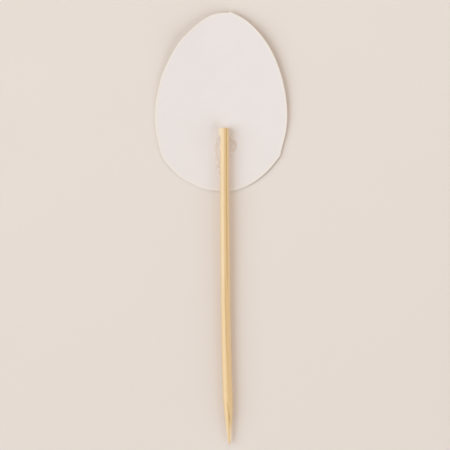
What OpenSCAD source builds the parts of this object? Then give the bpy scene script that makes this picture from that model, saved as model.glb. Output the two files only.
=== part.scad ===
// Easter egg food pick, lying face down as it is kept: an egg cut by hand from white
// card, with a round bamboo pick held to its back by a dab of clear hot glue.
// X runs across the egg, Y from the pick's tip to the egg's crown, and Z up from the
// table. The origin is on the table, under the middle of the whole length.

/* [Egg card] */
// Width of the egg at its widest line
card_w = 27.1; // [20:0.1:40]
// Height of the egg, from its base to its crown
card_h = 36.6; // [30:0.1:55]
// Height of the widest line above the base
widest_h = 15.6; // [11:0.1:22]
// Thickness of the card
card_t = 0.35; // [0.2:0.05:1]
// Sideways lean of the crown
crown_lean = 0.4; // [-2:0.1:2]
// Fullness of the crown's right side: 1 is straight and 2 is an ellipse
crown_fullness_right = 1.90; // [1.5:0.01:2.6]
// Fullness of the crown's left side
crown_fullness_left = 1.76; // [1.5:0.01:2.6]
// Fullness of the base's left side
base_fullness_left = 2.23; // [1.5:0.01:2.6]
// Fullness of the base's right side
base_fullness_right = 2.08; // [1.5:0.01:2.6]
// How far the scissors wander off the smooth egg, as a share of the real cut
hand_cut = 1; // [0:0.1:2]
// Height of the step at the crown, where the cut meets its own start
nick_h = 0.2; // [0.05:0.05:0.6]

/* [Curl of the card] */
// Length of the flat part, from the base to where the curl begins
flat_len = 10; // [4:0.1:20]
// Radius of the curl
curl_r = 250; // [120:5:600]
// Turn of the curl towards the right of the crown, in degrees
curl_turn = 25; // [-30:1:30]

/* [Bamboo pick] */
// Length of the pick
pick_len = 65; // [50:1:120]
// Diameter of its shank
pick_d = 2; // [1.5:0.1:4]
// Diameter of its butt, which is dressed a little thinner
butt_d = 1.85; // [1.2:0.05:4]
// Length of the shaved point
point_len = 9.3; // [5:0.1:20]
// Diameter left at the very tip
tip_d = 0.24; // [0.1:0.02:0.8]
// Edge broken round the butt
butt_chamfer = 0.12; // [0.05:0.01:0.3]
// Length of pick that lies over the card
overlap = 13; // [10:0.5:25]
// Sideways offset of the butt from the middle of the egg
butt_x = 0.76; // [-4:0.01:4]
// Sideways lean of the pick, in degrees
pick_lean = 0.73; // [-4:0.01:4]

/* [Glue dab] */
// Least thickness of glue between the pick and the card
glue_film = 0.05; // [0.03:0.01:0.3]
// Height of the glue beside the pick, above the card
glue_h = 1; // [0.5:0.05:1.4]
// Reach of the left lobe from the pick's side
left_reach = 0.85; // [0.4:0.05:2]
// Reach of the right lobe from the pick's side
right_reach = 1.65; // [0.4:0.05:3]
// Distance of the thickest glue from the pick's butt
dab_from_butt = 3.7; // [3:0.1:4]
// Length of the left lobe's trail towards the point
left_trail = 5.2; // [2:0.1:5.2]
// Length of the right lobe's trail towards the point
right_trail = 1.5; // [0.5:0.1:5]
// Length of both lobes' trail towards the butt
butt_trail = 1; // [0.5:0.1:1.5]

/* [Hidden] */

$fn = 96;
curl_facets = 720;
glue_facets = 28;
edge_steps = 180;
point_steps = 8;
// Spare length on tools that cut right through
spare = 2;

// Direction of the step at the crown, from the middle of the widest line
nick_at = 87;
// Turn of the cut over which the step fades out
nick_run = 5;
// How sharply the lean gathers towards the crown
lean_power = 4;
// Where the cut wanders: direction in degrees, distance outwards and spread in degrees
wander = [
    [67, -0.08, 9],
    [109, -0.21, 8],
    [147, 0.11, 5],
    [216, 0.31, 9],
    [246, -0.18, 10],
    [280, 0.18, 14],
    [321, 0.21, 12],
    [326, 0.14, 4],
];

// How roundly the shoulder of the point turns: 1 is a plain cone
shoulder_power = 1.55;
// Length of bare pick beyond the card, over which it swells to its full diameter
bare_swell = 1;

// Radius of a lobe's bulge, as a share of its reach from the pick's axis
bulge_share = 0.75;
// Radius and height of a lobe's trails, as shares of the bulge's
trail_r_share = 0.6;
trail_h_share = 0.5;
// Reach of a lobe's trails from the pick's side, as a share of the bulge's
trail_reach_share = 0.3;

card_white = [0.94, 0.92, 0.90];
straw = [0.90, 0.79, 0.58];
clear_amber = [0.93, 0.90, 0.85, 0.6];

crown_h = card_h - widest_h;
shank_len = pick_len - point_len;
dressed_len = overlap + bare_swell;
butt_r = butt_d / 2;
pick_r = pick_d / 2;
tip_r = tip_d / 2;

// Sideways place of the pick's axis, at a distance y from the card's base
function axis_x(y) = butt_x + (overlap - y) * tan(pick_lean);

// Height of the card's back above the table, at a distance y from the card's base
function back_z(x, y) =
    let (run = x * sin(curl_turn) + (y - flat_len) * cos(curl_turn))
    run <= 0 ? card_t : curl_r - sqrt(pow(curl_r - card_t, 2) - pow(run, 2));

// The end of the shank lies on the table and the glued stretch on the card, so the pick
// slopes by whichever of the card's base and the pick's butt needs more room
base_slope = (back_z(axis_x(0), 0) + glue_film) / (shank_len - overlap);
butt_slope = (back_z(butt_x, overlap) + glue_film - pick_r + butt_r) / shank_len;
pick_slope = asin(max(base_slope, butt_slope));
butt_z = pick_r * cos(pick_slope) + shank_len * sin(pick_slope);

// Distance of the card's base from the origin, with the whole length centred on it
tip_y = overlap - pick_len * cos(pick_slope) * cos(pick_lean);
base_y = -(card_h + tip_y) / 2;

// Turn between two directions, from 0 to 180
function turn_between(a, b) = abs((a - b + 900) % 360 - 180);

// Fullness of the quarter of the egg that direction a points into
function fullness(a) =
    sin(a) >= 0
        ? (cos(a) >= 0 ? crown_fullness_right : crown_fullness_left)
        : (cos(a) >= 0 ? base_fullness_right : base_fullness_left);

// Reach of the smooth egg in direction a, from the middle of its widest line
function egg_reach(a) =
    let (
        across = abs(cos(a)) / (card_w / 2),
        along = abs(sin(a)) / (sin(a) >= 0 ? crown_h : widest_h),
        power = fullness(a)
    )
    pow(pow(across, power) + pow(along, power), -1 / power);

// Distance that the hand-cut edge lies outside the smooth egg in direction a
function wander_at(a) =
    let (parts = [for (w = wander) w[1] * exp(-pow(turn_between(a, w[0]) / w[2], 2))])
    hand_cut * (parts * [for (w = wander) 1]);

// Point of the edge, after the cut has turned by t from the step at the crown
function edge_point(t) =
    let (
        a = nick_at + t,
        reach = egg_reach(a) + wander_at(a) + nick_h * exp((t - 360) / nick_run),
        y = reach * sin(a),
        lean = y > 0 ? crown_lean * pow(y / crown_h, lean_power) : 0
    )
    [reach * cos(a) + lean, widest_h + y];

module egg_outline() {
    polygon([for (i = [0:edge_steps]) edge_point(360 * i / edge_steps)]);
}

// Slab of the card's curl: its top is the card's back, and it reaches depth below that.
// It is drawn round the middle of the line where the curl begins, wide enough for any turn
module curled_slab(depth) {
    side = card_w + card_h;
    curl_angle = asin(side / 2 / (curl_r - card_t));
    translate([0, flat_len, 0])
        rotate(-curl_turn) {
            translate([-side / 2, -side / 2, card_t - depth])
                cube([side, side / 2, depth]);
            translate([-side / 2, 0, curl_r])
                rotate([0, 90, 0])
                rotate_extrude(angle = curl_angle, $fn = curl_facets)
                translate([curl_r - card_t, 0])
                square([depth, side]);
        }
}

// Radius and height of the point at a share t of its length, from its round shoulder
function point_profile(t) =
    [tip_r + (pick_r - tip_r) * (1 - pow(t, shoulder_power)), shank_len + point_len * t];

// Pick along its own axis, from the butt at zero to the tip
module pick_shape() {
    rotate_extrude()
        polygon([
            [0, 0],
            [butt_r - butt_chamfer, 0],
            [butt_r, butt_chamfer],
            [pick_r, dressed_len],
            [pick_r, shank_len],
            for (i = [1:point_steps]) point_profile(i / point_steps),
            [0, pick_len]
        ]);
}

// Puts a pick drawn along Z onto the card, with its tip towards -Y
module laid_on_card() {
    translate([butt_x, overlap, butt_z])
        rotate([90 + pick_slope, 0, pick_lean])
        children();
}

// Low round drop of glue on the card's back, with its rim at reach from the pick's axis
module drop(direction, reach, y, r, h) {
    cap_r = (r * r + h * h) / (2 * h);
    x = axis_x(y) + direction * (reach - r);
    translate([x, y, back_z(x, y) - glue_film])
        intersection() {
            translate([0, 0, h - cap_r])
                sphere(cap_r, $fn = glue_facets);
            translate([-r, -r, 0])
                cube([2 * r, 2 * r, h]);
        }
}

// One side of the dab: it bulges in the middle and trails off along the pick
module lobe(direction, reach, trail) {
    bulge_y = overlap - dab_from_butt;
    bulge_r = bulge_share * (pick_r + reach);
    trail_r = trail_r_share * bulge_r;
    trail_h = trail_h_share * glue_h;
    trail_reach = pick_r + trail_reach_share * reach;
    hull() {
        drop(direction, pick_r + reach, bulge_y, bulge_r, glue_h);
        drop(direction, trail_reach, bulge_y - trail, trail_r, trail_h);
        drop(direction, trail_reach, bulge_y + butt_trail, trail_r, trail_h);
    }
}

module egg_card() {
    color(card_white)
        translate([0, base_y, 0])
        intersection() {
            curled_slab(card_t);
            linear_extrude(card_h)
                egg_outline();
        }
}

module bamboo_pick() {
    color(straw)
        translate([0, base_y, 0])
        laid_on_card()
        pick_shape();
}

module glue_dab() {
    color(clear_amber)
        translate([0, base_y, 0])
        difference() {
            union() {
                lobe(-1, left_reach, left_trail);
                lobe(1, right_reach, right_trail);
            }
            laid_on_card()
                pick_shape();
            curled_slab(card_t + spare);
        }
}

egg_card();
bamboo_pick();
glue_dab();
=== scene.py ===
"""Easter egg food pick: an egg cut by hand from white card, lying face down, with a
round bamboo pick held to its back by a dab of clear hot glue.

X runs across the egg, Y from the pick's tip to the egg's crown, and Z up from the table.
Shapes are worked out in millimetres, in the part's own terms, and scaled to metres once.
"""

import math

import bmesh
import bpy
from mathutils import Matrix, Vector, noise


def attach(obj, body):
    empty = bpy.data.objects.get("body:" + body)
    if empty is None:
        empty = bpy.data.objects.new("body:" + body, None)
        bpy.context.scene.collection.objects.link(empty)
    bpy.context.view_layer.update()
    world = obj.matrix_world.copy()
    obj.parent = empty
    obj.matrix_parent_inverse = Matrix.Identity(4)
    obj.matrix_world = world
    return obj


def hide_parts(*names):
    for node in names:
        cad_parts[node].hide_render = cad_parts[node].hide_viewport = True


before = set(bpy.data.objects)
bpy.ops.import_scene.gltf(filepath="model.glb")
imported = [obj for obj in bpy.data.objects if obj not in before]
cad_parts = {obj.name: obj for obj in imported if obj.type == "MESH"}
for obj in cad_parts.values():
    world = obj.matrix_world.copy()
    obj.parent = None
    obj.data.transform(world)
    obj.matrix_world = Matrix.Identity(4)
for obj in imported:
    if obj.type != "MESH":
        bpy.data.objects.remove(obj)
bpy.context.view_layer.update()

MM = 0.001

# The egg as the part has it
CARD_W = 27.1
CARD_H = 36.6
WIDEST_H = 15.6
CROWN_H = CARD_H - WIDEST_H
CARD_T = 0.35
CROWN_LEAN = 0.4
LEAN_POWER = 4
FULLNESS = {"crown_right": 1.90, "crown_left": 1.76, "base_left": 2.23, "base_right": 2.08}
NICK_AT = 87
# Where the hand-cut edge wanders: direction, how far it stands out there, and its spread
WANDER = (
    (67, -0.08, 9),
    (109, -0.21, 8),
    (147, 0.11, 5),
    (216, 0.31, 9),
    (246, -0.18, 10),
    (280, 0.18, 14),
    (321, 0.21, 12),
    (326, 0.14, 4),
)

# Its curl as the part has it
FLAT_LEN = 10
CURL_R = 250
CURL_TURN = math.radians(25)

# The pick as the part has it, and how it lies on the card
PICK_LEN = 65
PICK_R = 1.0
BUTT_R = 0.925
POINT_LEN = 9.3
TIP_R = 0.12
SHOULDER_POWER = 1.55
BUTT_CHAMFER = 0.12
OVERLAP = 13
BARE_SWELL = 1
BUTT_X = 0.76
PICK_LEAN = math.radians(0.73)
GLUE_FILM = 0.05
SHANK_LEN = PICK_LEN - POINT_LEN
PICK_SLOPE = math.asin((CARD_T + GLUE_FILM) / (SHANK_LEN - OVERLAP))
BUTT_Z = PICK_R * math.cos(PICK_SLOPE) + SHANK_LEN * math.sin(PICK_SLOPE)
TIP_Y = OVERLAP - PICK_LEN * math.cos(PICK_SLOPE) * math.cos(PICK_LEAN)
BASE_Y = -(CARD_H + TIP_Y) / 2


def smooth_step(low, high, x):
    """0 below low, 1 above high, and a smooth climb between them."""
    t = min(1.0, max(0.0, (x - low) / (high - low)))
    return t * t * (3 - 2 * t)


def ramp(change, x):
    """How much of a change has come in at x: its start, its end and its amount."""
    start, end, amount = change
    return amount * smooth_step(start, end, x)


def bell(x, middle, spread):
    """1 at the middle, fading to nothing on both sides."""
    return math.exp(-(((x - middle) / spread) ** 2))


def along_knots(knots, x):
    """Smooth curve through (place, value) knots."""
    if x <= knots[0][0]:
        return knots[0][1]
    if x >= knots[-1][0]:
        return knots[-1][1]
    i = next(k for k in range(len(knots) - 1) if x <= knots[k + 1][0])
    (x0, y0), (x1, y1) = knots[i], knots[i + 1]

    def slope(j):
        a, b = knots[max(j - 1, 0)], knots[min(j + 1, len(knots) - 1)]
        return (b[1] - a[1]) / (b[0] - a[0])

    run = x1 - x0
    t = (x - x0) / run
    return (
        y0 * (1 + 2 * t) * (1 - t) ** 2
        + slope(i) * run * t * (1 - t) ** 2
        + y1 * t * t * (3 - 2 * t)
        - slope(i + 1) * run * t * t * (1 - t)
    )


class Wire:
    """An output of a node. Sums on a Wire put Math nodes into its tree."""

    def __init__(self, nodes, socket):
        self.nodes = nodes
        self.socket = socket

    def _math(self, operation, a, b):
        return self.nodes.add("ShaderNodeMath", {"operation": operation}, {0: a, 1: b})

    def __add__(self, other):
        return self._math("ADD", self, other)

    def __radd__(self, other):
        return self._math("ADD", other, self)

    def __sub__(self, other):
        return self._math("SUBTRACT", self, other)

    def __rsub__(self, other):
        return self._math("SUBTRACT", other, self)

    def __mul__(self, other):
        return self._math("MULTIPLY", self, other)

    def __rmul__(self, other):
        return self._math("MULTIPLY", other, self)

    def larger(self, other):
        return self._math("MAXIMUM", self, other)


class Nodes:
    """A node tree, and the one way that nodes are put into it."""

    def __init__(self, owner):
        owner.use_nodes = True
        self.tree = owner.node_tree

    def add(self, kind, settings=None, sockets=None, out=0):
        """Adds a node, with its settings made first and its sockets fed next."""
        made = self.tree.nodes.new(kind)
        for key, value in (settings or {}).items():
            setattr(made, key, value)
        for key, value in (sockets or {}).items():
            self.feed(made.inputs[key], value)
        return Wire(self, made.outputs[out])

    def feed(self, socket, value):
        if isinstance(value, Wire):
            self.tree.links.new(value.socket, socket)
        else:
            socket.default_value = value


class Finish(Nodes):
    """A material, with the patterns that the finishes share."""

    def __init__(self, name):
        self.material = bpy.data.materials.new(name)
        super().__init__(self.material)
        self.shader = self.tree.nodes["Principled BSDF"]

    def set(self, **sockets):
        """Feeds the shader's own sockets, named with _ for a space."""
        for key, value in sockets.items():
            self.feed(self.shader.inputs[key.replace("_", " ")], value)

    def place(self):
        """Object coordinates in millimetres."""
        return self.stretch(self.add("ShaderNodeTexCoord", out="Object"), (1 / MM,) * 3)

    def mark(self, name, out="Fac"):
        """What the piece's points carry under a name."""
        return self.add("ShaderNodeAttribute", {"attribute_name": name}, out=out)

    def stretch(self, vector, factors):
        """A vector with each of its parts multiplied."""
        return self.add(
            "ShaderNodeVectorMath", {"operation": "MULTIPLY"}, {0: vector, 1: factors}
        )

    def along(self, vector, direction):
        """How far a place lies in a direction."""
        return self.add(
            "ShaderNodeVectorMath",
            {"operation": "DOT_PRODUCT"},
            {0: vector, 1: direction},
            out="Value",
        )

    def speckle(self, vector, size, detail=2.0, roughness=0.5, distortion=0.0):
        """Noise from 0 to 1 with spots of a size in millimetres."""
        return self.add(
            "ShaderNodeTexNoise",
            None,
            {
                "Vector": vector,
                "Scale": 1 / size,
                "Detail": detail,
                "Roughness": roughness,
                "Distortion": distortion,
            },
        )

    def between(self, value, low, high):
        """0 where value is under low, 1 where it is over high, smooth between."""
        return self.add(
            "ShaderNodeMapRange",
            {"interpolation_type": "SMOOTHSTEP"},
            {"Value": value, "From Min": low, "From Max": high},
        )

    def blend(self, share, a, b):
        """Colour a with a share of colour b in it, by the Mix node's colour sockets."""
        return self.add("ShaderNodeMix", {"data_type": "RGBA"}, {0: share, 6: a, 7: b}, out=2)

    def relief(self, height, depth):
        """Normal of a surface on which a height of 1 stands depth millimetres up."""
        return self.add("ShaderNodeBump", None, {"Height": height, "Distance": depth * MM})


def paint(red, green, blue, alpha=1.0):
    """Linear colour from the 0 to 255 values that a screen shows."""

    def linear(v):
        v /= 255
        return v / 12.92 if v <= 0.04045 else ((v + 0.055) / 1.055) ** 2.4

    return (linear(red), linear(green), linear(blue), alpha)


def spin_spoke(bm, spoke, steps):
    """Spins a line of points once round Z, and merges what meets on the axis."""
    points = [bm.verts.new(place) for place in spoke]
    lines = [bm.edges.new(pair) for pair in zip(points, points[1:])]
    bmesh.ops.spin(
        bm,
        geom=points + lines,
        axis=(0, 0, 1),
        cent=(0, 0, 0),
        angle=math.tau,
        steps=steps,
        use_merge=True,
    )
    bmesh.ops.remove_doubles(bm, verts=bm.verts, dist=1e-4)


def finish_piece(name, bm, finish, node):
    """Turns a bmesh in millimetres into a piece that stands for a node of the part."""
    bmesh.ops.recalc_face_normals(bm, faces=bm.faces)
    bmesh.ops.scale(bm, vec=(MM,) * 3, verts=bm.verts)
    mesh = bpy.data.meshes.new(name)
    bm.to_mesh(mesh)
    bm.free()
    mesh.materials.append(finish.material)
    mesh.shade_smooth()
    piece = bpy.data.objects.new(name, mesh)
    bpy.context.scene.collection.objects.link(piece)
    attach(piece, "root")
    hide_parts(node)


# Form of the edge that only the scene has. The nick is deeper and shorter than the part's
# and takes up half a degree. The swell is one more row of WANDER, and the rows of SNIPS
# are of the same kind, but each leaves a sharp corner between two snips.
NICK_H = 0.42
NICK_RUN = 3
NICK_WIDTH = 0.5
RIGHT_SWELL = (340, 0.05, 50)
SNIPS = (
    (91, -0.1, 3),
    (325, 0.2, 1.8),
    (328.6, -0.06, 0.8),
    (345, 0.03, 8),
    (300, 0.04, 10),
)


def egg_reach(a):
    """Reach of the smooth egg in direction a, in degrees."""
    c, s = math.cos(math.radians(a)), math.sin(math.radians(a))
    power = FULLNESS[("crown_" if s >= 0 else "base_") + ("right" if c >= 0 else "left")]
    across = abs(c) / (CARD_W / 2)
    along = abs(s) / (CROWN_H if s >= 0 else WIDEST_H)
    return (across**power + along**power) ** (-1 / power)


def turn_between(a, b):
    """Turn between two directions, from 0 to 180 degrees."""
    return abs((a - b + 180) % 360 - 180)


def wander_at(a):
    """Distance that the hand-cut edge lies outside the smooth egg."""
    rows = WANDER + (RIGHT_SWELL,)
    return sum(out * bell(turn_between(a, at), 0, spread) for at, out, spread in rows)


def snip_at(a):
    """Distance that the sharp corners between two snips lie outside that edge."""
    return sum(out * math.exp(-turn_between(a, at) / spread) for at, out, spread in SNIPS)


def edge_point(t):
    """Point of the edge from the middle of the widest line, t degrees on from the nick."""
    a = NICK_AT + t
    reach = egg_reach(a) + wander_at(a) + snip_at(a)
    reach += NICK_H * math.exp((t - 360) / NICK_RUN)
    x, y = reach * math.cos(math.radians(a)), reach * math.sin(math.radians(a))
    lean = CROWN_LEAN * (y / CROWN_H) ** LEAN_POWER if y > 0 else 0
    return x + lean, y


def back_z(x, y):
    """Height of the card's back at x and a distance y from its base, as the part has it."""
    run = x * math.sin(CURL_TURN) + (y - FLAT_LEN) * math.cos(CURL_TURN)
    if run <= 0:
        return CARD_T
    return CURL_R - math.sqrt((CURL_R - CARD_T) ** 2 - run**2)


def axis_x(y):
    """Sideways place of the pick's axis at a distance y from the card's base."""
    return BUTT_X + (OVERLAP - y) * math.tan(PICK_LEAN)


# How far the sides stand above the plain curl, at distances from the card's base
RIGHT_LIFT = (
    (0, 0.17),
    (4, 0.18),
    (8, 0.13),
    (12, 0.12),
    (16, 0.19),
    (20, 0.19),
    (24, 0.17),
    (28, 0.16),
    (32, 0.22),
    (35, 0.13),
    (37, 0),
)
LEFT_LIFT = ((16, 0), (20, 0.06), (26, 0.2), (31, 0.62), (35, 0.95), (37, 0.7))
# How far from the middle each side begins to lift, and where it has its whole lift
RIGHT_LIFT_SPAN = (2, 11)
LEFT_LIFT_SPAN = (3, 9)
# How far the crown sags, as a ramp over distances from the base
CROWN_SAG = (33, 37, 0.1)
# Slow waves in the card, and where they come in beside the pick and beyond its butt
WAVE_H = 0.035
WAVE_LEN = 9
WAVE_SLICE = 0.3
BESIDE_SPAN = (1.5, 6.0)
BEYOND_SPAN = (13, 18)


def card_lift(x, y):
    """How far the card warps off the part's plain curl, away from the glue."""
    right = smooth_step(*RIGHT_LIFT_SPAN, x) * along_knots(RIGHT_LIFT, y)
    left = smooth_step(*LEFT_LIFT_SPAN, -x) * along_knots(LEFT_LIFT, y)
    wave = WAVE_H * noise.noise(Vector((x / WAVE_LEN, y / WAVE_LEN, WAVE_SLICE)))
    clear = smooth_step(*BESIDE_SPAN, abs(x - axis_x(y))) + smooth_step(*BEYOND_SPAN, y)
    return right + left - ramp(CROWN_SAG, y) + wave * min(1.0, clear)


EDGE_STEPS = 480
# Shares of the way to the edge at which the card has points, closer towards its rim
SPOKE = [k / 18 for k in range(17)] + [0.955, 0.968, 0.977, 0.984, 0.99, 0.995, 1.0]
# How far the scissors turned the very edge up, and where that begins and ends, in from it
BURR_H = 0.035
BURR_SPAN = (0.75, 0.05)
# Turn between two faces, in radians, past which their edge is rounded off, and how far
SHARP_TURN = 1
RIM_ROUND = 0.06


def cut_egg():
    """The egg: its back, bent and warped, given the card's thickness and a rounded rim,
    which is marked for the finish's cream and painted highlight."""
    bm = bmesh.new()
    rim = bm.verts.layers.float.new("rim")
    spin_spoke(bm, [(share, 0, 0) for share in SPOKE], EDGE_STEPS)
    stretch = (360 - NICK_WIDTH) / (360 - 360 / EDGE_STEPS)
    for v in bm.verts:
        share = v.co.length
        turn = math.degrees(math.atan2(v.co.y, v.co.x)) % 360
        # A point of the first spoke can come out a hair under a full turn
        if turn > 360 - 0.01:
            turn = 0
        x, y = edge_point(turn * stretch)
        v[rim] = smooth_step(*BURR_SPAN, (1 - share) * math.hypot(x, y))
        x, y = x * share, WIDEST_H + y * share
        v.co = (x, BASE_Y + y, back_z(x, y) + card_lift(x, y) + BURR_H * v[rim])
    bmesh.ops.recalc_face_normals(bm, faces=bm.faces)
    if sum(f.normal.z for f in bm.faces) < 0:
        bmesh.ops.reverse_faces(bm, faces=bm.faces)
    bmesh.ops.solidify(bm, geom=bm.faces[:], thickness=CARD_T)
    sharp = [
        e for e in bm.edges if len(e.link_faces) == 2 and e.calc_face_angle(0) > SHARP_TURN
    ]
    bmesh.ops.bevel(
        bm,
        geom=sharp,
        offset=RIM_ROUND,
        segments=2,
        affect="EDGES",
        profile=0.5,
        material=-1,
    )
    return bm


# How far the bamboo bows to the right, at distances from its butt
BOW = ((0, -0.03), (15, -0.19), (37, -0.26), (50, -0.16), (57, 0.0), (61, 0.07), (65, 0.14))
# Thickness as a share of the part's, at distances from its butt
THICKNESS = (
    (0, 0.96),
    (6, 0.945),
    (13, 0.91),
    (18, 0.935),
    (26, 0.965),
    (55.7, 0.975),
    (58.4, 0.99),
    (61.5, 1.08),
    (63.3, 1.36),
    (65, 1.8),
)
# Ramps over distances from the butt: how far the point dips towards the table, and how much
# shorter the butt is worn
POINT_DIP = (57, 66, 0.1)
BUTT_WORN = (3, 0, 0.14)


def pick_radius(z):
    """Radius of the part's pick at a distance z from its butt."""
    if z <= BUTT_CHAMFER:
        return BUTT_R - BUTT_CHAMFER + z
    dressed = OVERLAP + BARE_SWELL
    if z <= dressed:
        return BUTT_R + (PICK_R - BUTT_R) * (z - BUTT_CHAMFER) / (dressed - BUTT_CHAMFER)
    if z <= SHANK_LEN:
        return PICK_R
    t = min(1.0, (z - SHANK_LEN) / POINT_LEN)
    return TIP_R + (PICK_R - TIP_R) * (1 - t**SHOULDER_POWER)


# Where the pick has rings of points: close together at its butt, and then in steps along
# its shank and on its point
BUTT_RINGS = (0, 0.04, 0.08, 0.12, 0.2)
STEPS_FROM = 0.3
SHANK_STEP = 0.34
POINT_STEP = 0.16


def pick_rings():
    """Distances from the butt at which the pick has a ring of points."""
    rings, z = list(BUTT_RINGS), STEPS_FROM
    while z < PICK_LEN - POINT_STEP:
        rings.append(z)
        z += SHANK_STEP if z < SHANK_LEN - 1 else POINT_STEP
    return rings + [PICK_LEN]


# Where the dark fibres come in past the butt
FIBRES_SPAN = (0.1, 0.5)
# Each fibre: degrees to the right of the pick's top and strength, at distances from its
# butt, and width in degrees
FIBRES = (
    {
        "place": ((0, 25), (12, 26), (24, 24), (34, 27)),
        "strength": ((0, 1), (24, 0.9), (30, 0.8), (34, 0)),
        "width": 5.5,
    },
    {
        "place": ((29, -2), (38, 1), (44, 0), (49, 8), (57, 5)),
        "strength": ((29, 0), (33, 0.5), (45, 0.55), (50, 0.3), (57, 0)),
        "width": 6,
    },
    {
        "place": ((56, -18), (58.2, -1), (59.6, 13)),
        "strength": ((56.2, 0), (57, 0.9), (59.4, 0.8), (60.2, 0)),
        "width": 5,
    },
    {
        "place": ((59, 10), (61, 12), (64, 6)),
        "strength": ((58.6, 0), (59.6, 0.9), (60.6, 0.7), (61.8, 0.35), (64.5, 0.1)),
        "width": 13,
    },
)


def dark_fibre(degrees, z):
    """Strength of the dark fibres at degrees to the right of the pick's top."""
    return smooth_step(*FIBRES_SPAN, z) * sum(
        along_knots(fibre["strength"], z)
        * bell(degrees, along_knots(fibre["place"], z), fibre["width"])
        for fibre in FIBRES
    )


# The left edge of the tan along the pick's top, in degrees to the right of it, and how far
# it fades to each side
TAN_EDGE = ((0, -9), (28, -10), (36, -14), (48, -6), (56, -12), (65, -16))
TAN_FADE = (13, 12)
# Ramps over the same degrees: where the tan falls off beyond the top and on the far right,
# and where it comes again on the far left as painted shade that darkens the left limb
TAN_PAST_TOP = (25, 45, 0.45)
TAN_FAR_RIGHT = (90, 120, 0.4)
LEFT_LIMB_SHADE = (-40, -65, 0.5)
# Where the shades of the sides come in past the butt, and how much tan the point has lost
SIDES_SPAN = (4, 8)
TAN_AT_POINT = (61, 63, 0.4)


def tan_side(degrees, z):
    """How tan the bamboo is: not at all on its pale left, most along its top, and again on
    its far left limb as painted shade.
    """
    edge = along_knots(TAN_EDGE, z)
    top = smooth_step(edge - TAN_FADE[0], edge + TAN_FADE[1], degrees)
    top -= ramp(TAN_PAST_TOP, degrees)
    # The tan on the far left is painted shade on the pick's limb
    sides = ramp(LEFT_LIMB_SHADE, degrees) - ramp(TAN_FAR_RIGHT, degrees)
    return (top + sides * smooth_step(*SIDES_SPAN, z)) * (1 - ramp(TAN_AT_POINT, z))


# The butt's left side is frayed out, as a share of its radius: over these distances from
# the butt, and round this angle to the right of the pick's top, with this spread
BUTT_FRAY = 0.36
FRAY_SPAN = (2.1, 1.1)
FRAY_AT = -90
FRAY_SPREAD = 42


def frayed(degrees, z):
    """How far the butt is frayed at degrees to the right of the pick's top."""
    return smooth_step(*FRAY_SPAN, z) * bell(degrees, FRAY_AT, FRAY_SPREAD)


# The pale flanks of the point: a ramp over distances from the butt, and the spread of the
# top between them in degrees
PALE_FLANKS = (60, 63, 0.7)
FLANKS_APART = 40


def pale_wood(degrees, z):
    """How pale the wood is: on the frayed side of the butt and the flanks of the point."""
    side = frayed(degrees, z) * smooth_step(0, BUTT_CHAMFER, z)
    return side + ramp(PALE_FLANKS, z) * (1 - bell(degrees, 0, FLANKS_APART))


# Ridges along the bamboo: how close they lie round it, how long they are, and their height
RIDGES = ((9, 22, 0.012), (26, 9, 0.006))


def ridges(around, z):
    """Height of the bamboo's ridges in a direction from its axis."""
    return sum(
        height * noise.noise(close * around + Vector((0, 0, z / length)))
        for close, length, height in RIDGES
    )


# Flats that the knife left on the point: degrees to the right of the top, distance from
# the butt where each begins, and depth as a share of the point's radius there
SHAVINGS = ((14, 59.8, 0.28), (38, 57, 0.12), (155, 55.6, 0.42), (-140, 55.8, 0.45))
SHAVING_RUN = 3
# Depth of a flat, as a share of the radius, at which it shows bare wood
BARE_DEPTH = 0.06


def shave(degrees, z, r):
    """Radius left on the point after the knife's flats, and how bare it is there."""
    left = r
    for facing, start, depth in SHAVINGS:
        flat = r * (1 - depth * smooth_step(start, start + SHAVING_RUN, z))
        towards = math.cos(math.radians(degrees - facing))
        if towards * left > flat:
            left = flat / towards
    return left, smooth_step(0, BARE_DEPTH, 1 - left / r)


def lay_on_card():
    """Puts a pick made along Z onto the card."""
    return (
        Matrix.Translation((BUTT_X, BASE_Y + OVERLAP, BUTT_Z))
        @ Matrix.Rotation(PICK_LEAN, 4, "Z")
        @ Matrix.Rotation(math.pi / 2 + PICK_SLOPE, 4, "X")
    )


PICK_SEGMENTS = 144
# The ring inside the butt's face, as a share of its radius, and how far the tip's middle
# stands out
END_RING = 0.45
TIP_CROWN = 0.02
# How deep the dark fibres lie, and the radius at which this and the ridges are whole
FIBRE_DEPTH = 0.03
RELIEF_R = 0.3


def turn_pick():
    """The pick: turned along Z with its top towards Y, shaved, bowed and laid down. It is
    marked for the finish with its grain and with where it is dark, tan, shaved or pale."""
    bm = bmesh.new()
    grain = bm.verts.layers.float_vector.new("grain")
    fibre = bm.verts.layers.float.new("dark_fibre")
    tan = bm.verts.layers.float.new("tan")
    bare = bm.verts.layers.float.new("shaved")
    pale = bm.verts.layers.float.new("pale")
    outline = [(0, 0, 0), (END_RING * BUTT_R, 0, 0)]
    outline += [(pick_radius(z), 0, z) for z in pick_rings()]
    outline.append((0, 0, PICK_LEN + TIP_CROWN))
    spin_spoke(bm, outline, PICK_SEGMENTS)
    for v in bm.verts:
        x, y, z = v.co
        r = math.hypot(x, y)
        degrees = math.degrees(math.atan2(x, y))
        v[grain] = (x, y, z)
        v[fibre] = dark_fibre(degrees, z)
        v[tan] = tan_side(degrees, z)
        v[pale] = pale_wood(degrees, z)
        # The middles of the two ends stay on the axis
        if r > 0.01:
            left, v[bare] = shave(degrees, z, r)
            relief = ridges(Vector((x / r, y / r, 0)), z) - FIBRE_DEPTH * v[fibre]
            left = left * along_knots(THICKNESS, z) + smooth_step(0, RELIEF_R, r) * relief
            left += BUTT_FRAY * frayed(degrees, z) * r
            x, y = x * left / r, y * left / r
        v.co = (x + along_knots(BOW, z), y - ramp(POINT_DIP, z), z + ramp(BUTT_WORN, z))
    bmesh.ops.transform(bm, matrix=lay_on_card(), verts=bm.verts)
    return bm


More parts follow.
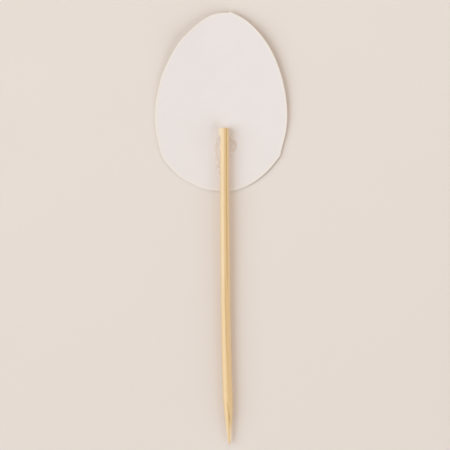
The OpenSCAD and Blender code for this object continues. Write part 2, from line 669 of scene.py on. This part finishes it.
# The glue's two ends, and its reach from the pick's sides, at distances from the card's base
GLUE_ENDS = (2.4, 11.6)
LEFT_EDGE = (
    (2.4, -0.4),
    (2.9, 0.02),
    (3.4, 0.2),
    (4.0, 0.42),
    (4.6, 0.64),
    (5.2, 0.74),
    (5.7, 0.7),
    (6.2, 0.82),
    (6.8, 1.02),
    (7.5, 1.18),
    (8.4, 1.26),
    (9.3, 1.27),
    (9.9, 1.15),
    (10.6, 0.72),
    (11.15, 0.1),
    (11.6, -0.4),
)
RIGHT_EDGE = (
    (2.4, -0.5),
    (6.6, -0.3),
    (7.2, 0.08),
    (7.6, 0.5),
    (8.0, 0.95),
    (8.4, 1.3),
    (8.9, 1.53),
    (9.4, 1.6),
    (9.9, 1.45),
    (10.4, 1.1),
    (10.9, 0.55),
    (11.3, 0.0),
    (11.6, -0.4),
)
# How high it climbs up the pick's sides, and the power by which it rises towards them
CLIMB = (
    (2.4, 0.05),
    (3.2, 0.3),
    (4.2, 0.45),
    (6, 0.6),
    (8, 0.8),
    (9.4, 0.95),
    (10.8, 0.7),
    (11.6, 0.05),
)
CLIMB_POWER = 2.2
# It climbs no higher than this share of the height of the pick's axis, and the square of
# its reach from the axis there is no less than this share of the square of the radius
MOST_CLIMB = 0.98
LEAST_TOUCH = 0.05


def glue_section(y):
    """The pick above the glue at a distance y from the card's base: its radius, where its
    axis lies, the axis's height above the card, how high up its sides the glue climbs and
    how far out from the axis it touches them there."""
    z = OVERLAP - y
    r = pick_radius(z) * along_knots(THICKNESS, z)
    middle = axis_x(y) + along_knots(BOW, z)
    centre = BUTT_Z - z * math.tan(PICK_SLOPE) - back_z(middle, y)
    climb = min(along_knots(CLIMB, y), MOST_CLIMB * centre)
    touch = math.sqrt(max(r * r - (centre - climb) ** 2, LEAST_TOUCH * r * r))
    return r, middle, centre, climb, touch


# The bead at the glue's edge: its width, its heights on both sides and that of the thin
# skin behind it. Where the glue reaches less far, the bead takes up a share of the reach,
# and it falls to the skin over a share of its own width.
BEAD_W = 0.34
RIGHT_BEAD_H = 0.26
LEFT_BEAD_H = 0.2
SKIN_H = 0.11
BEAD_SHARE = 0.45
BEAD_FALL = 0.75


def glue_height(inwards, reach, climb, side):
    """Height of the glue above the card at a distance in from its edge, and how much of a
    bead it is there: a rounded bead, then a thin skin that climbs to the pick's side."""
    width = min(BEAD_W, BEAD_SHARE * reach)
    bead = (RIGHT_BEAD_H if side > 0 else LEFT_BEAD_H) * width / BEAD_W
    skin = SKIN_H * width / BEAD_W
    if inwards < width:
        edge = bead * math.sqrt(max(0.0, 1 - (1 - inwards / width) ** 2))
    else:
        edge = skin + (bead - skin) * bell(inwards, width, BEAD_FALL * width)
    slope = climb * (inwards / reach) ** CLIMB_POWER
    return math.hypot(edge, slope), max(0.0, edge - skin) / (RIGHT_BEAD_H - SKIN_H)


# Drops that ran off the nozzle: place, radius and height
DROPS = ((-0.72, 5.1, 0.32, 0.12), (-0.5, 3.6, 0.26, 0.1), (2.15, 8.8, 0.36, 0.1))
# Height of the glue at which a drop stands out whole
DROP_SEAT = 0.1


def drop_height(x, y, glue_h):
    """How far a drop stands out at a place, where the glue has a height."""
    height = 0
    for drop_x, drop_y, drop_r, drop_h in DROPS:
        off = math.hypot(x - drop_x, y - drop_y) / drop_r
        if off < 1:
            height += drop_h * math.sqrt(1 - off * off)
    return height * smooth_step(0, DROP_SEAT, glue_h)


# The grid that the glue is made from: its squares across and along the pick, the share of
# each half of it that lies under the pick, the power by which the rest crowds towards the
# edge, and the least width that the rest is given
GRID_ACROSS = 120
GRID_ALONG = 130
UNDER_SHARE = 0.3
CROWDING = 1.4
LEAST_REACH = 0.01
# How far the glue is pressed into the pick above it and into the card under it
PICK_BITE = 0.03
CARD_BITE = 0.01
# The painted shade behind the right bead: its distance in from the edge, its spread, and the
# reaches of the glue over which it comes in
LEE_AT = 0.2
LEE_SPREAD = 0.25
LEE_SPAN = (0.8, 1.6)
# Power by which the glue on the left shows more towards the pick
WALL_POWER = 3


def squeeze_glue():
    """The dab: a skin that climbs from its edge on the card to the pick's side, passes
    under the pick and comes down on the other side, closed by its seat on the card. It is
    marked for the finish with its bead, the wall on the left and painted shade in the lee on
    the right."""
    bm = bmesh.new()
    bead = bm.verts.layers.float.new("bead")
    wall = bm.verts.layers.float.new("wall")
    lee_shade = bm.verts.layers.float.new("lee_shade")
    bmesh.ops.create_grid(bm, x_segments=GRID_ACROSS, y_segments=GRID_ALONG, size=1)
    for v in bm.verts:
        share, side = abs(v.co.x), math.copysign(1, v.co.x)
        y = GLUE_ENDS[0] + (GLUE_ENDS[1] - GLUE_ENDS[0]) * (v.co.y + 1) / 2
        r, middle, centre, climb, touch = glue_section(y)
        edge = along_knots(LEFT_EDGE if side < 0 else RIGHT_EDGE, y)
        reach = max(pick_radius(OVERLAP - y) + edge - touch, LEAST_REACH)
        if share < UNDER_SHARE:
            out = touch * share / UNDER_SHARE
            height = centre - math.sqrt(r * r - out**2) + PICK_BITE
        else:
            run = (share - UNDER_SHARE) / (1 - UNDER_SHARE)
            inwards = reach * (1 - run) ** CROWDING
            out = touch + reach - inwards
            height, v[bead] = glue_height(inwards, reach, climb, side)
            if side < 0:
                v[wall] = (inwards / reach) ** WALL_POWER
            else:
                v[lee_shade] = bell(inwards, LEE_AT, LEE_SPREAD) * smooth_step(*LEE_SPAN, reach)
        x = middle + side * out
        height += drop_height(x, y, height)
        v.co = (x, BASE_Y + y, back_z(x, y) + height)
    made = bmesh.ops.extrude_face_region(bm, geom=bm.faces[:])
    for v in made["geom"]:
        if isinstance(v, bmesh.types.BMVert):
            v.co.z = back_z(v.co.x, v.co.y - BASE_Y) - CARD_BITE
    return bm


def card_stock():
    """White card with a fine tooth, and cream along its cut rim, lightened there by a painted
    highlight.
    """
    f = Finish("white_card")
    place = f.place()
    cloud = f.speckle(place, 4, detail=3)
    tooth = f.speckle(place, 0.16, detail=4, roughness=0.65)
    threads = f.speckle(place, 0.5, detail=3, roughness=0.6, distortion=1.5)
    colour = f.blend(cloud, paint(230.5, 222.5, 218.5), paint(234.5, 226.5, 222.5))
    colour = f.blend(f.between(threads, 0.55, 0.8) * 0.35, colour, paint(238, 231, 226))
    # The rim mark lays cream and a painted highlight along the cut edge
    colour = f.blend(f.mark("rim"), colour, paint(237, 227, 217))
    f.set(
        Base_Color=colour,
        Roughness=0.75 + 0.2 * tooth,
        Normal=f.relief(tooth + 0.6 * threads, 0.007),
        Specular_IOR_Level=0.3,
    )
    return f


def straw_bamboo():
    """Straw bamboo: cream to tan round the pick, deeper towards its point, and streaked
    along its grain."""
    f = Finish("straw_bamboo")
    grain = f.mark("grain", "Vector")
    streaks = f.speckle(f.stretch(grain, (1, 1, 1 / 30)), 0.13, detail=3, roughness=0.6)
    bands = f.speckle(f.stretch(grain, (1, 1, 1 / 40)), 0.55)
    down = f.between(f.along(grain, (0, 0, 1)), 28, 40)
    pale = f.blend(down, paint(238, 211, 170), paint(236, 205, 157))
    cream = f.blend(bands, pale, f.blend(down, paint(234, 205, 162), paint(232, 199, 150)))
    tan = f.blend(bands, paint(225, 191, 139), paint(221, 186, 133))
    colour = f.blend(f.mark("tan"), cream, tan)
    colour = f.blend(f.between(streaks, 0.5, 0.8) * 0.4, colour, paint(214, 182, 128))
    colour = f.blend(f.between(1 - streaks, 0.55, 0.85) * 0.4, colour, paint(247, 228, 190))
    colour = f.blend(f.mark("dark_fibre") * 0.85, colour, paint(186, 146, 80))
    colour = f.blend(f.mark("shaved") * 0.3, colour, paint(230, 200, 150))
    colour = f.blend(f.mark("pale"), colour, paint(236, 216, 186))
    f.set(
        Base_Color=colour,
        Roughness=0.42 + 0.2 * streaks,
        Normal=f.relief(streaks, 0.014),
    )
    return f


def clear_glue():
    """Clear glue: seen best along its bead and where it climbs the pick's left side, and
    darkened by painted shade behind its right bead.
    """
    f = Finish("clear_glue")
    haze = f.speckle(f.place(), 0.6)
    clear = f.blend(haze, paint(249, 237, 224), paint(243, 229, 214))
    f.set(
        # Painted shade darkens the glue in the lee behind its right bead
        Base_Color=f.blend(f.mark("lee_shade") * 0.6, clear, paint(212, 190, 176)),
        Roughness=0.18,
        Alpha=0.17 + 0.41 * f.mark("bead") + 0.28 * f.mark("wall"),
        Normal=f.relief(haze, 0.03),
        IOR=1.49,
    )
    return f


def beige_table():
    """Dull beige table that darkens a little towards the pick's tip."""
    f = Finish("beige_table")
    place = f.place()
    cloud = f.speckle(place, 18, detail=3)
    falling = f.between(f.along(place, (0.45, -0.9, 0)), -45, 60)
    colour = f.blend(cloud, paint(229.8, 219.5, 211), paint(231.6, 221.5, 212.5))
    colour = f.blend(falling, colour, paint(227.5, 217, 208.5))
    f.set(Base_Color=colour, Roughness=0.9, Specular_IOR_Level=0.2)
    return f


# How far the table reaches to each side, and how far it lies under the part
TABLE_REACH = 3000
TABLE_GAP = 0.02


def lay_table():
    """The table, which is the floor of the scene."""
    bm = bmesh.new()
    bmesh.ops.create_grid(bm, x_segments=1, y_segments=1, size=TABLE_REACH * MM)
    bmesh.ops.translate(bm, vec=(0, 0, -TABLE_GAP * MM), verts=bm.verts)
    mesh = bpy.data.meshes.new("table")
    bm.to_mesh(mesh)
    bm.free()
    mesh.materials.append(beige_table().material)
    table = bpy.data.objects.new("table", mesh)
    bpy.context.scene.collection.objects.link(table)


# Tints of the lamps and of the room, which together leave white as it is
LAMP_TINT = (0.86, 1.02, 1.16)
ROOM_TINT = (1.203, 0.971, 0.768)
# Lamps: azimuth, elevation and spread in degrees, share of the light on level ground, tint
LAMPS = {
    "window": (183, 40, 56, 0.40, LAMP_TINT),
    "far_wall": (-30, 25, 60, 0.191, LAMP_TINT),
    "white_wall": (87, 40, 24, 0.11, ROOM_TINT),
}
ROOM_SHARE = 0.299


def hang_lamp(name, azimuth, elevation, spread, share, tint):
    """Soft lamp that gives a share of the light on level ground."""
    lamp = bpy.data.lights.new(name, "SUN")
    lamp.angle = math.radians(spread)
    lamp.energy = share * math.pi / math.sin(math.radians(elevation))
    lamp.color = tint
    hung = bpy.data.objects.new(name, lamp)
    a, e = math.radians(azimuth), math.radians(elevation)
    towards = Vector((math.cos(a) * math.cos(e), math.sin(a) * math.cos(e), math.sin(e)))
    hung.rotation_euler = towards.to_track_quat("Z", "Y").to_euler()
    bpy.context.scene.collection.objects.link(hung)


def light_room():
    """Three soft lamps, and a warm room that lights the part but shows as pale beige."""
    for name, lamp in LAMPS.items():
        hang_lamp(name, *lamp)
    world = bpy.data.worlds.new("room")
    bpy.context.scene.world = world
    nodes = Nodes(world)
    glow = [ROOM_SHARE * tint for tint in ROOM_TINT]
    room = nodes.add("ShaderNodeBackground", None, {"Color": (*glow, 1)})
    backdrop = nodes.add("ShaderNodeBackground", None, {"Color": paint(230, 220, 211)})
    camera, glossy, through = (
        nodes.add("ShaderNodeLightPath", out=f"Is {ray} Ray")
        for ray in ("Camera", "Glossy", "Transmission")
    )
    seen = camera.larger(glossy).larger(through)
    both = nodes.add("ShaderNodeMixShader", None, {0: seen, 1: room, 2: backdrop})
    nodes.feed(nodes.tree.nodes["World Output"].inputs["Surface"], both)


# The camera's lens and sensor, the width that its picture shows, and the picture's middle
LENS = 300
SENSOR = 36
FRAME_W = 92.475
AIM = (0.822, 0.647)


def place_camera():
    """Camera that looks straight down from where its picture has that width."""
    camera = bpy.data.cameras.new("camera")
    camera.lens = LENS
    camera.sensor_width = SENSOR
    camera.clip_end = 20
    holder = bpy.data.objects.new("camera", camera)
    height = FRAME_W * LENS / SENSOR
    holder.location = Vector((*AIM, height)) * MM
    bpy.context.scene.collection.objects.link(holder)
    bpy.context.scene.camera = holder


bpy.context.scene.view_settings.view_transform = "Standard"

finish_piece("egg_cut_from_card", cut_egg(), card_stock(), "egg_card")
finish_piece("turned_pick", turn_pick(), straw_bamboo(), "bamboo_pick")
finish_piece("squeezed_glue", squeeze_glue(), clear_glue(), "glue_dab")
lay_table()
light_room()
place_camera()
